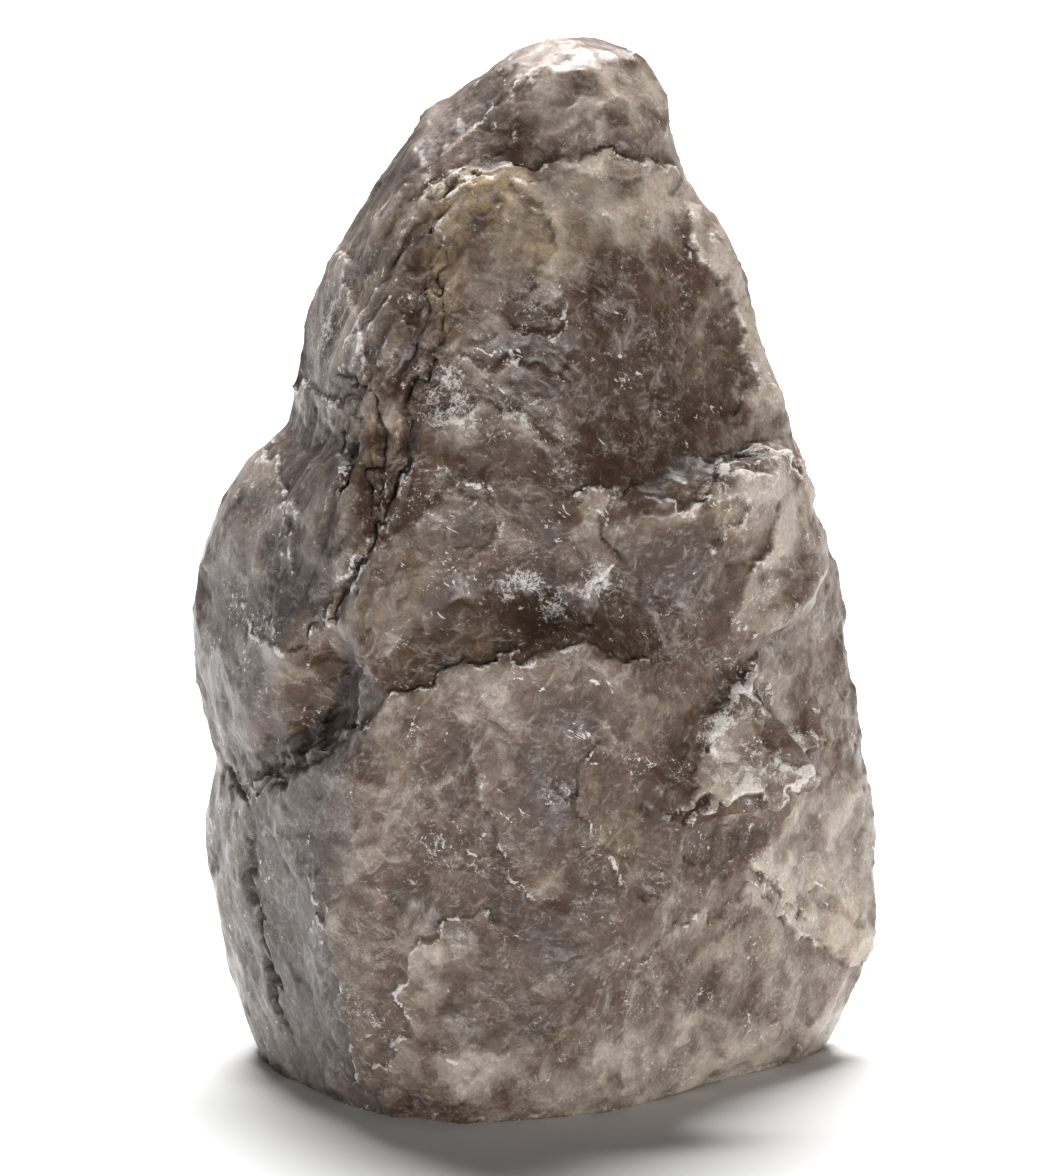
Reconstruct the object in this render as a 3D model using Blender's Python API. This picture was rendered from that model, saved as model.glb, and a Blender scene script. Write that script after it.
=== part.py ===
"""A rough smoky quartz stone: one broken chunk that stands upright on a flat foot.

Blender 4.5, metres, +Z up. The origin is on the floor, under the middle of the stone's box.
The front, with its upright ridge, faces -Y. The stone is made as quartz breaks: convex blocks
bounded by flat fractures are joined, rounded hollows are struck out of them, the surface is
roughened with small facets, and the foot is cut flat.
"""

import math

import bmesh
import bpy
from mathutils import Matrix, Vector, noise

NAME = "smoky_quartz"
MM = 0.001

# Driving dimensions of the finished stone, in metres.
HEIGHT = 0.248
WIDTH = 0.164
DEPTH = 0.121

# How finely the joined blocks are meshed, and how many triangles the finished solid keeps.
VOXEL = 1.7 * MM
TRIANGLES = 8500
# The blocks reach this far below the floor, so that the foot is one clean cut.
BELOW_FLOOR = -5

# Corners of the blocks, in millimetres, as (x, y, z).
BODY = [
    # foot
    (-17, -57, BELOW_FLOOR), (13, -50, BELOW_FLOOR), (54, -8, BELOW_FLOOR), (60, 22, BELOW_FLOOR),
    (34, 54, BELOW_FLOOR), (-34, 56, BELOW_FLOOR), (-47, -36, BELOW_FLOOR),
    # right-hand outline, from the foot up
    (67, 5, 2), (76, 6, 16), (80, 8, 31), (80, 10, 50), (77, 8, 71), (74, 8, 96), (70, 6, 121),
    (60, 4, 146), (50, 2, 171), (44, 1, 192), (38, 0, 207), (33, 0, 218),
    # upright ridge between the left and the right face
    (-22, -22, 218), (-25, -38, 190), (-31, -46, 166), (-39, -51, 142), (-44, -53, 129),
    (-42, -58, 104), (-41, -60, 67), (-46, -53, 27), (-22, -59, 12),
    # swelling of the front face
    (16, -54, 92), (18, -53, 40), (40, -36, 116), (4, -49, 134), (8, -28, 209), (25, -26, 190),
    (-5, -14, 223), (24, -8, 226), (50, -28, 60), (56, -18, 24),
    # back
    (34, 50, 55), (-34, 54, 45), (54, 38, 92), (-38, 44, 108), (28, 32, 158), (-26, 36, 165),
    (12, 22, 214), (-20, 20, 210), (2, 60, 78), (-6, 49, 134),
]
KNOB = [
    (3, 2, 248), (14, 4, 247), (9, -10, 244), (23, 4, 243), (29, 2, 237), (31, 0, 222),
    (-13, 6, 241), (-12, -6, 238), (-5, -15, 225), (12, -17, 237), (15, -18, 224), (26, -13, 229),
    (14, 19, 241), (0, 18, 236), (23, 18, 230), (-2, 20, 212), (25, 16, 212), (14, -10, 212),
]
SHOULDER = [
    (-14, 5, 239), (-22, 6, 232), (-28, 6, 227), (-35, 6, 215), (-42, 5, 204), (-49, 5, 193),
    (-54, 4, 182), (-56, 4, 172), (-59, 4, 160), (-59, 5, 151), (-8, -9, 232), (-14, -12, 226),
    (-32, -18, 214), (-43, -22, 191), (-33, -38, 186), (-49, -25, 171), (-38, -43, 160),
    (-44, -34, 146), (-20, 24, 224), (-42, 28, 190), (-48, 34, 155), (-12, 22, 200), (-28, 42, 158),
    (-14, -14, 210), (-16, -30, 160), (-2, 10, 224), (-50, 38, 138), (-20, 44, 136),
]
BULGE = [
    (-64, 6, 150), (-69, 6, 145), (-76, 7, 134), (-81, 7, 118), (-83, 6, 106), (-82, 6, 95),
    (-80, 6, 85), (-77, 6, 72), (-66, -18, 138), (-74, -16, 111), (-51, -44, 138), (-50, -49, 122),
    (-59, -42, 110), (-70, -24, 88), (-45, -42, 155), (-41, -49, 141), (-70, 28, 130), (-74, 30, 95),
    (-54, 42, 132), (-56, 46, 80), (-66, -22, 80), (-68, 8, 58), (-20, -30, 160), (-24, -42, 92),
    (-34, 50, 122), (-28, 54, 76), (-52, 36, 150),
]
HEEL = [
    (-77, 8, 66), (-79, 6, 57), (-80, 6, 52), (-79, 4, 46), (-75, 4, 31), (-72, 5, 15), (-67, 6, 3),
    (-66, 8, BELOW_FLOOR), (-71, -22, 65), (-67, -21, 29), (-62, -14, BELOW_FLOOR),
    (-58, -44, 83), (-46, -57, 92), (-40, -58, 100), (-47, -53, 27), (-46, -38, BELOW_FLOOR),
    (-31, -54, BELOW_FLOOR), (-66, 36, 72), (-58, 50, 52), (-50, 52, BELOW_FLOOR), (-34, 57, 60),
    (-20, 58, 20), (-20, 56, BELOW_FLOOR), (-20, 20, 60),
]
# A plate that stands a little proud of the front face, under an arched edge.
PLATE = [
    (-41, -60, 97), (-31, -60, 105), (-17, -60, 112), (-5, -59, 116), (6, -57, 119), (15, -55, 117),
    (25, -51, 109), (27, -50, 92), (14, -55, 70), (-4, -59, 59), (-16, -60, 78), (-41, -60, 78),
    (-10, -20, 100), (0, -20, 60),
]
# The block under the dark window, with its upper edge as a ledge.
LEDGE = [
    (15, -42, 148), (27, -42, 146), (38, -38, 145), (47, -33, 152), (60, -12, 151), (70, -4, 124),
    (64, -22, 112), (42, -36, 106), (22, -46, 114), (10, -20, 130), (50, 0, 130), (52, 20, 140),
]
# A wedge that stands off the right of the front face, pointing right.
FLAKE = [
    (46, -36, 103), (36, -45, 88), (29, -50, 68), (52, -42, 73), (65, -32, 77), (55, -35, 90),
    (45, -12, 80), (40, -20, 96),
]
# Two thin slabs behind the right-hand edge of the front face.
SLAB_HIGH = [
    (40, -5, 206), (45, -3, 201), (47, -2, 195), (47, -2, 183), (49, -2, 177), (36, -10, 206),
    (36, 10, 204), (42, 14, 178), (38, -14, 178), (20, 0, 200), (20, 0, 176),
]
SLAB_MID = [
    (50, -3, 176), (54, -3, 172), (57, -2, 163), (59, -2, 154), (62, -2, 145), (45, -14, 174),
    (50, -14, 148), (44, 16, 174), (52, 18, 144), (20, 0, 170), (20, 0, 148),
]
BLOCKS = {
    "knob": KNOB,
    "shoulder": SHOULDER,
    "bulge": BULGE,
    "heel": HEEL,
    "plate": PLATE,
    "ledge": LEDGE,
    "flake": FLAKE,
    "slab_high": SLAB_HIGH,
    "slab_mid": SLAB_MID,
}

# Hollows struck out of the blocks: centre, half sizes and turn about Y, in millimetres and degrees.
HOLLOWS = {
    "window": ((27, -51, 167), (24, 19, 23), 10),
    "under_knob": ((-17, -23, 225), (13, 9, 3), -21),
    "gully_high": ((-33, -53, 165), (3, 10, 16), 12),
    "gully_mid": ((-40, -55, 150), (3, 10, 15), 24),
    "gully_low": ((-50, -54, 125), (4, 12, 19), 31),
    "gully_mouth": ((-55, -52, 101), (17, 15, 8), -38),
    "pits": ((-42, -42, 167), (4, 8, 13), 6),
    "bulge_pocket": ((-62, -43, 127), (6, 12, 14), 20),
    "above_arch": ((2, -60, 127), (25, 14, 9), -4),
    "under_flake": ((48, -46, 60), (19, 14, 12), -14),
    "scallop": ((-2, -69, 71), (13, 11, 13), 0),
    "right_scoop": ((80, -40, 60), (20, 30, 26), 0),
    "back_high": ((24, 68, 150), (34, 34, 46), 24),
    "back_low": ((-46, 92, 64), (46, 42, 34), -15),
    "back_nick": ((-26, 50, 178), (24, 18, 13), -30),
    "toe_undercut": ((86, -28, -2), (34, 30, 9), 24),
}

# Facets that roughen the surface: cell size and height, in metres, from coarse to fine.
FACETS = [(26 * MM, 3.0 * MM), (11 * MM, 1.3 * MM)]
# How far, in cells, the borders of the facets wander.
WANDER = 0.5
# Fixes the random wander of the facets, so that every build is the same.
SEED = 7
# Neighbouring seeds are spread apart before their facets' random tilts are looked up.
SEED_SPREAD = 7.0
# How steeply a facet falls away round its seed, and the lift that makes up for it on the whole.
FALL = 0.5
MEAN_HEIGHT = 0.3
# Edges that bend more than this, in radians, are shaded as sharp.
SHARP = 0.5
HALF = Vector((0.5, 0.5, 0.5))


def add_object(name, mesh):
    """Links a new object that holds the mesh."""
    obj = bpy.data.objects.new(name, mesh)
    bpy.context.scene.collection.objects.link(obj)
    return obj


def block(name, corners):
    """A convex block bounded by the flat fractures between its corners."""
    mesh = bpy.data.meshes.new(name)
    shape = bmesh.new()
    for corner in corners:
        shape.verts.new(Vector(corner) * MM)
    hull = bmesh.ops.convex_hull(shape, input=shape.verts)
    spare = set(hull["geom_interior"] + hull["geom_unused"])
    bmesh.ops.delete(shape, geom=[item for item in spare if isinstance(item, bmesh.types.BMVert)])
    bmesh.ops.recalc_face_normals(shape, faces=shape.faces)
    shape.to_mesh(mesh)
    shape.free()
    return add_object(name, mesh)


def hollow(name, centre, half_sizes, turn):
    """A rounded cutter, like the shell-shaped scar that a blow leaves in quartz."""
    place = (
        Matrix.Translation(Vector(centre) * MM)
        @ Matrix.Rotation(math.radians(turn), 4, "Y")
        @ Matrix.Diagonal(Vector(half_sizes) * MM).to_4x4()
    )
    mesh = bpy.data.meshes.new(name)
    shape = bmesh.new()
    bmesh.ops.create_icosphere(shape, subdivisions=3, radius=1.0, matrix=place)
    shape.to_mesh(mesh)
    shape.free()
    return add_object(name, mesh)


def combine(stone, helper, operation):
    """Joins the helper to the stone, or cuts it away, and drops the helper."""
    modifier = stone.modifiers.new(operation, "BOOLEAN")
    modifier.operation = operation
    modifier.solver = "EXACT"
    modifier.object = helper
    bake(stone)
    bpy.data.objects.remove(helper)


def bake(stone):
    """Replaces the stone's mesh with what its modifiers make of it."""
    graph = bpy.context.evaluated_depsgraph_get()
    made = bpy.data.meshes.new_from_object(stone.evaluated_get(graph))
    stone.modifiers.clear()
    stone.data = made


def remesh(stone):
    """An even mesh over the joined blocks, fine enough to be roughened."""
    modifier = stone.modifiers.new("even", "REMESH")
    modifier.mode = "VOXEL"
    modifier.voxel_size = VOXEL
    bake(stone)


def facet_height(point, cell):
    """Height of the small fracture facets at this point, in cells: the highest of a few tilted planes."""
    here = point / cell
    distances, seeds = noise.voronoi(here)
    heights = [
        (noise.cell_vector(seed * SEED_SPREAD) - HALF).dot(here - seed) - FALL * distance
        for distance, seed in zip(distances, seeds)
    ]
    return max(heights) + MEAN_HEIGHT


def roughen(stone):
    """Moves each point along its normal by the height of the facets it lies on."""
    noise.seed_set(SEED)
    shape = bmesh.new()
    shape.from_mesh(stone.data)
    shape.normal_update()
    places = [vert.co.copy() for vert in shape.verts]
    normals = [vert.normal.copy() for vert in shape.verts]
    for vert, place, normal in zip(shape.verts, places, normals):
        for cell, height in FACETS:
            warp = noise.turbulence_vector(place / cell, 3, False) * cell * WANDER
            vert.co += normal * height * facet_height(place + warp, cell)
    shape.to_mesh(stone.data)
    shape.free()


def thin_out(stone):
    """Keeps about TRIANGLES triangles, most of them where the surface bends."""
    stone.data.calc_loop_triangles()
    modifier = stone.modifiers.new("thin", "DECIMATE")
    modifier.ratio = TRIANGLES / len(stone.data.loop_triangles)
    modifier.use_collapse_triangulate = True
    bake(stone)


def cut_foot(stone):
    """Cuts the foot flat at the floor."""
    shape = bmesh.new()
    shape.from_mesh(stone.data)
    everything = shape.verts[:] + shape.edges[:] + shape.faces[:]
    bmesh.ops.bisect_plane(
        shape, geom=everything, plane_co=(0, 0, 0), plane_no=(0, 0, 1), clear_inner=True
    )
    rim = [edge for edge in shape.edges if edge.is_boundary]
    bmesh.ops.triangle_fill(shape, edges=rim, use_beauty=True, normal=(0, 0, -1))
    bmesh.ops.recalc_face_normals(shape, faces=shape.faces)
    shape.to_mesh(stone.data)
    shape.free()


def fit_to_box(stone):
    """Scales the stone to its driving dimensions, and stands its box's middle on the origin."""
    places = [vertex.co for vertex in stone.data.vertices]
    low = Vector([min(place[i] for place in places) for i in range(3)])
    high = Vector([max(place[i] for place in places) for i in range(3)])
    size = high - low
    scale = Matrix.Diagonal((WIDTH / size.x, DEPTH / size.y, HEIGHT / size.z)).to_4x4()
    foot = Vector(((low.x + high.x) / 2, (low.y + high.y) / 2, low.z))
    stone.data.transform(scale @ Matrix.Translation(-foot))


def quartz_material():
    """Smoky quartz: a dull grey-brown stone with a glassy skin."""
    material = bpy.data.materials.new("smoky_quartz")
    material.use_nodes = True
    shader = material.node_tree.nodes["Principled BSDF"]
    shader.inputs["Base Color"].default_value = (0.19, 0.16, 0.14, 1.0)
    shader.inputs["Roughness"].default_value = 0.38
    shader.inputs["Metallic"].default_value = 0.0
    return material


def main():
    """Builds the stone as one object."""
    for old in list(bpy.data.objects):
        bpy.data.objects.remove(old)
    stone = block(NAME, BODY)
    for name, corners in BLOCKS.items():
        combine(stone, block(name, corners), "UNION")
    for name, (centre, half_sizes, turn) in HOLLOWS.items():
        combine(stone, hollow(name, centre, half_sizes, turn), "DIFFERENCE")
    remesh(stone)
    roughen(stone)
    thin_out(stone)
    cut_foot(stone)
    fit_to_box(stone)
    stone.data.name = NAME
    stone.data.materials.clear()
    stone.data.materials.append(quartz_material())
    stone.data.set_sharp_from_angle(angle=SHARP)


main()
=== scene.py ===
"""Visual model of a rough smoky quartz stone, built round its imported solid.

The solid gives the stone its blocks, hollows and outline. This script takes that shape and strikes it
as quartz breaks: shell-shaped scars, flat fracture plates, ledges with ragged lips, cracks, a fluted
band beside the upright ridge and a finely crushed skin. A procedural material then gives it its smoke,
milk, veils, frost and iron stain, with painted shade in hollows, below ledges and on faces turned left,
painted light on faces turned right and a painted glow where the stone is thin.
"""

import logging
import math
from dataclasses import dataclass, field
from enum import Enum

import bpy
import numpy as np
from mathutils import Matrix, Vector
from mathutils.bvhtree import BVHTree
from mathutils.kdtree import KDTree


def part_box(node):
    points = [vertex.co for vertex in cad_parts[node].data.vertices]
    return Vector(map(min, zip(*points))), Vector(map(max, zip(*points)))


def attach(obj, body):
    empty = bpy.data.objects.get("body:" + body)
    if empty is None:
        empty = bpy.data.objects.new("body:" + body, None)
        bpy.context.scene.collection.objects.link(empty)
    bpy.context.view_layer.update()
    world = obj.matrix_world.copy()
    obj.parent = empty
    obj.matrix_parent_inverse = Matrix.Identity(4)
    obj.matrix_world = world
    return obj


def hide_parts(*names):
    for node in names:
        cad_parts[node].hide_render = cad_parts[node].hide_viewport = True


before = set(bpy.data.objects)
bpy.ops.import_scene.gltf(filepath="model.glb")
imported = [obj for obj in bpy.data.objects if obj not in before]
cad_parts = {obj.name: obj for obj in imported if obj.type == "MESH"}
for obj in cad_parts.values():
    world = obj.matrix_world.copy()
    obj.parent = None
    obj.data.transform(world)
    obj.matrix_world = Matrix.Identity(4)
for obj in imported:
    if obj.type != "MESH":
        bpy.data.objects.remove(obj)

LOG = logging.getLogger("smoky_quartz")
CAD_NODE = "smoky_quartz"
BODY = "root"
MM = 0.001
# Places on the stone are given in millimetres on a stone this wide, deep and tall, and scale with the frame.
DESIGN_SIZE = (164.0, 121.0, 248.0)


# ---------------------------------------------------------------- noise

class Noise:
    """Seeded three-dimensional noise on arrays of points."""

    TABLE = 256
    NUMBERING = np.array([1, 5003, 5003**2])

    def __init__(self, seed: int) -> None:
        """Draws the tables that the noise looks its random values up in.

        Args:
            seed: the same seed gives the same noise.
        """
        draw = np.random.default_rng(seed)
        self.order = np.tile(draw.permutation(self.TABLE), 3)
        leans = draw.normal(size=(self.TABLE, 3))
        self.leans = leans / np.linalg.norm(leans, axis=1, keepdims=True)
        self.spots = draw.random((self.TABLE, 3))
        self.shift = draw.random(3) * self.TABLE

    def entry(self, cell: np.ndarray) -> np.ndarray:
        """The table entry of each lattice cell.

        Args:
            cell: whole-numbered cells, one row each.

        Returns:
            one table index for each row.
        """
        x, y, z = (cell % self.TABLE).T
        return self.order[self.order[self.order[x] + y] + z]

    def smooth(self, points: np.ndarray, size: float) -> np.ndarray:
        """Gradient noise, from about -1 to 1.

        Args:
            points: places in metres, one row each.
            size: distance in metres over which the noise changes.

        Returns:
            one value for each point.
        """
        place = points / size + self.shift
        cell = np.floor(place).astype(np.int64)
        part = place - cell
        ease = part * part * part * (part * (part * 6 - 15) + 10)
        total = np.zeros(len(points))
        for corner in np.ndindex(2, 2, 2):
            offset = np.array(corner)
            lean = self.leans[self.entry(cell + offset)]
            share = np.prod(np.where(offset, ease, 1 - ease), axis=1)
            total += share * np.einsum("ij,ij->i", lean, part - offset)
        return total * 1.6

    def layered(self, points: np.ndarray, size: float, layers: int, fade: float = 0.5) -> np.ndarray:
        """Smooth noise with finer and weaker layers added.

        Args:
            points: places in metres, one row each.
            size: size in metres of the coarsest layer.
            layers: how many layers, each half the size of the one before.
            fade: strength of each layer against the one before.

        Returns:
            one value for each point, from about -1 to 1.
        """
        total = np.zeros(len(points))
        for layer in range(layers):
            total += fade**layer * self.smooth(points, size / 2**layer)
        return total

    def wander(self, points: np.ndarray, size: float, reach: float) -> np.ndarray:
        """Moves points about, so that straight borders turn ragged.

        Args:
            points: places in metres, one row each.
            size: size in metres of the coarsest swing.
            reach: how far points move, in metres.

        Returns:
            the moved points.
        """
        apart = np.array([[31.7, 0, 0], [0, 47.3, 0], [0, 0, 59.1]]) * size
        swings = [self.layered(points + step, size, 3, 0.6) for step in apart]
        return points + reach * np.stack(swings, axis=1)

    def cells(self, points: np.ndarray, size: float, border: float) -> "Cells":
        """Splits space into irregular cells, one round each of the lattice's random spots.

        Args:
            points: places in metres, one row each.
            size: size in metres of a cell.
            border: width in metres of the step from one cell to the next.

        Returns:
            the cells' own values at each point.
        """
        place = points / size + self.shift
        cell = np.floor(place).astype(np.int64)
        count = len(points)
        nearest, second = np.full((2, count), np.inf)
        apart, apart_second = np.zeros((2, count, 3))
        entry, entry_second = np.zeros((2, count), np.int64)
        owner, owner_second = np.zeros((2, count), np.int64)
        for step in np.ndindex(3, 3, 3):
            near = cell + np.array(step) - 1
            here = self.entry(near)
            offset = place - near - self.spots[here]
            distance = np.einsum("ij,ij->i", offset, offset)
            first = distance < nearest
            beside = ~first & (distance < second)
            number = near @ self.NUMBERING
            for kept, kept_second, new in (
                (apart, apart_second, offset), (entry, entry_second, here), (owner, owner_second, number),
            ):
                kept_second[first] = kept[first]
                kept_second[beside] = new[beside]
                kept[first] = new[first]
            second = np.where(first, nearest, np.where(beside, distance, second))
            nearest = np.where(first, distance, nearest)
        gap = (np.sqrt(second) - np.sqrt(nearest)) * size
        share = 0.5 * (1 - eased(gap, 0.0, 2 * border))
        lean = self.leans[entry]
        lean_second = self.leans[entry_second]
        slope = np.einsum("ij,ij->i", lean, apart)
        slope_second = np.einsum("ij,ij->i", lean_second, apart_second)
        level = self.spots[entry, 0] - 0.5
        level_second = self.spots[entry_second, 0] - 0.5
        return Cells(
            owner,
            owner_second,
            share,
            slope + share * (slope_second - slope),
            level + share * (level_second - level),
            lean + share[:, None] * (lean_second - lean),
            gap,
        )


@dataclass
class Cells:
    """The cell each point lies in, the next one and its share, and the values that the cells give it."""

    owner: np.ndarray
    owner_second: np.ndarray
    share: np.ndarray
    slope: np.ndarray
    level: np.ndarray
    lean: np.ndarray
    gap: np.ndarray


# ---------------------------------------------------------------- the surface as arrays

@dataclass
class Surface:
    """A mesh object's surface as arrays, so that work on all of its points is quick."""

    obj: bpy.types.Object
    points: np.ndarray = field(init=False)
    normals: np.ndarray = field(init=False)
    edges: np.ndarray = field(init=False)

    def __post_init__(self) -> None:
        """Reads the object's mesh."""
        self.read()

    def read(self) -> None:
        """Reads points, normals and edges from the object's mesh."""
        mesh = self.obj.data
        self.points = np.empty(len(mesh.vertices) * 3)
        mesh.vertices.foreach_get("co", self.points)
        self.points = self.points.reshape(-1, 3)
        self.edges = np.empty(len(mesh.edges) * 2, np.int64)
        mesh.edges.foreach_get("vertices", self.edges)
        self.edges = self.edges.reshape(-1, 2)
        self.read_normals()

    def read_normals(self) -> None:
        """Reads the points' normals from the object's mesh."""
        mesh = self.obj.data
        self.normals = np.empty(len(mesh.vertices) * 3)
        mesh.vertex_normals.foreach_get("vector", self.normals)
        self.normals = self.normals.reshape(-1, 3)

    def write(self) -> None:
        """Writes the points back to the object's mesh and works the normals out again."""
        self.points[:, 2] = np.maximum(self.points[:, 2], 0.0)
        self.obj.data.vertices.foreach_set("co", self.points.astype(np.float32).ravel())
        self.obj.data.update()
        self.read_normals()

    def tree(self) -> KDTree:
        """A search tree over the points as they are now.

        Returns:
            the tree.
        """
        made = KDTree(len(self.points))
        for index, point in enumerate(self.points):
            made.insert(point, index)
        made.balance()
        return made

    def remesh(self, voxel: float) -> None:
        """Gives the object an even mesh.

        Args:
            voxel: size of its faces in metres.
        """
        modifier = self.obj.modifiers.new("even", "REMESH")
        modifier.mode = "VOXEL"
        modifier.voxel_size = voxel
        modifier.use_smooth_shade = True
        graph = bpy.context.evaluated_depsgraph_get()
        made = bpy.data.meshes.new_from_object(self.obj.evaluated_get(graph))
        self.obj.modifiers.clear()
        self.obj.data = made
        self.read()

    def averaged(self, values: np.ndarray, rounds: int) -> np.ndarray:
        """Spreads values over the surface, each point taking half of its neighbours' mean in each round.

        Args:
            values: one value or one row for each point.
            rounds: how many times to spread them.

        Returns:
            the spread values.
        """
        first, second = self.edges.T
        count = len(self.points)
        degree = np.bincount(first, minlength=count) + np.bincount(second, minlength=count)
        columns = values.reshape(count, -1).T.copy()
        for column in columns:
            for _ in range(rounds):
                near = np.bincount(first, column[second], count) + np.bincount(second, column[first], count)
                column += 0.5 * (near / degree - column)
        return columns.T.reshape(values.shape)

    def relief(self, rounds: int) -> np.ndarray:
        """How far each point stands proud of its neighbourhood, in metres, negative in a hollow.

        Args:
            rounds: how wide the neighbourhood is.

        Returns:
            one height for each point.
        """
        apart = self.points - self.averaged(self.points, rounds)
        return np.einsum("ij,ij->i", apart, self.normals)

    def store(self, name: str, values: np.ndarray) -> None:
        """Stores a value for each point, for the material to read.

        Args:
            name: the attribute's name.
            values: one value for each point.
        """
        attribute = self.obj.data.attributes.new(name, "FLOAT", "POINT")
        attribute.data.foreach_set("value", values.astype(np.float32))


def eased(values: np.ndarray, low: float, high: float) -> np.ndarray:
    """A smooth rise from 0 at low to 1 at high.

    Args:
        values: the values to map.
        low: where the rise starts.
        high: where it ends.

    Returns:
        values from 0 to 1.
    """
    share = np.clip((values - low) / (high - low), 0.0, 1.0)
    return share * share * (3 - 2 * share)


# ---------------------------------------------------------------- features of the stone

@dataclass
class FrontPlan:
    """Places on the front of the stone, as (x, z) in design millimetres, put onto the frame."""

    low: Vector
    high: Vector

    def point(self, place: tuple[float, float]) -> np.ndarray:
        """The place in metres.

        Args:
            place: (x, z) in design millimetres from the middle of the foot.

        Returns:
            (x, z) in metres.
        """
        size = self.high - self.low
        middle = (self.high + self.low) / 2
        return np.array([
            middle.x + place[0] / DESIGN_SIZE[0] * size.x,
            self.low.z + place[1] / DESIGN_SIZE[2] * size.z,
        ])

    def path(self, places: tuple[tuple[float, float], ...]) -> np.ndarray:
        """Several places in metres, one row each.

        Args:
            places: (x, z) of each place in design millimetres.

        Returns:
            (x, z) of each in metres.
        """
        return np.array([self.point(place) for place in places])


def along_path(flat: np.ndarray, path: np.ndarray) -> tuple[np.ndarray, np.ndarray, np.ndarray]:
    """How points lie beside an open path, all seen from the front.

    Args:
        flat: (x, z) of each point.
        path: (x, z) of each corner of the path.

    Returns:
        distance from the path, positive on its right-hand side; the overshoot past its ends; and how
        far along the path the nearest place is, from 0 to 1.
    """
    nearest = np.full(len(flat), np.inf)
    side = np.zeros(len(flat))
    past = np.zeros(len(flat))
    along = np.zeros(len(flat))
    count = len(path) - 1
    for i, (start, end) in enumerate(zip(path[:-1], path[1:])):
        run = end - start
        length = np.linalg.norm(run)
        apart = flat - start
        share = apart @ run / length**2
        held = np.clip(share, 0, 1)
        distance = np.linalg.norm(apart - held[:, None] * run, axis=1)
        closer = distance < nearest
        nearest = np.where(closer, distance, nearest)
        side = np.where(closer, np.sign(apart[:, 0] * run[1] - apart[:, 1] * run[0]), side)
        beyond = np.zeros(len(flat))
        if i == 0:
            beyond = np.maximum(beyond, -share * length)
        if i == count - 1:
            beyond = np.maximum(beyond, (share - 1) * length)
        past = np.where(closer, beyond, past)
        along = np.where(closer, (i + held) / count, along)
    return nearest * side, past, along


@dataclass(frozen=True)
class Scar:
    """A shell-shaped scar: centre (x, z), radii and depth in millimetres, and turn in degrees."""

    centre: tuple[float, float]
    radii: tuple[float, float]
    depth: float
    turn: float


@dataclass(frozen=True)
class Ledge:
    """A step in the surface, raised on the right-hand side of its path as seen from the front.

    The lift and how far it reaches are in millimetres. Frost is for its lip, pale for the raised ground and
    shade for the painted shadow on the ground below.
    """

    path: tuple[tuple[float, float], ...]
    lift: float
    reach: float
    frost: float
    pale: float
    shade: float


@dataclass(frozen=True)
class Crack:
    """A groove along a path: width and depth in millimetres."""

    path: tuple[tuple[float, float], ...]
    width: float
    depth: float


class Tint(Enum):
    """What a zone adds to the stone's colour."""

    SMOKE = "smoke"
    FROST = "frost"
    STAIN = "stain"


@dataclass(frozen=True)
class Zone:
    """A soft patch of the front that is smokier, frosted or stained; a negative amount is paler."""

    tint: Tint
    centre: tuple[float, float]
    radii: tuple[float, float]
    amount: float
    turn: float = 0.0


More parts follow.
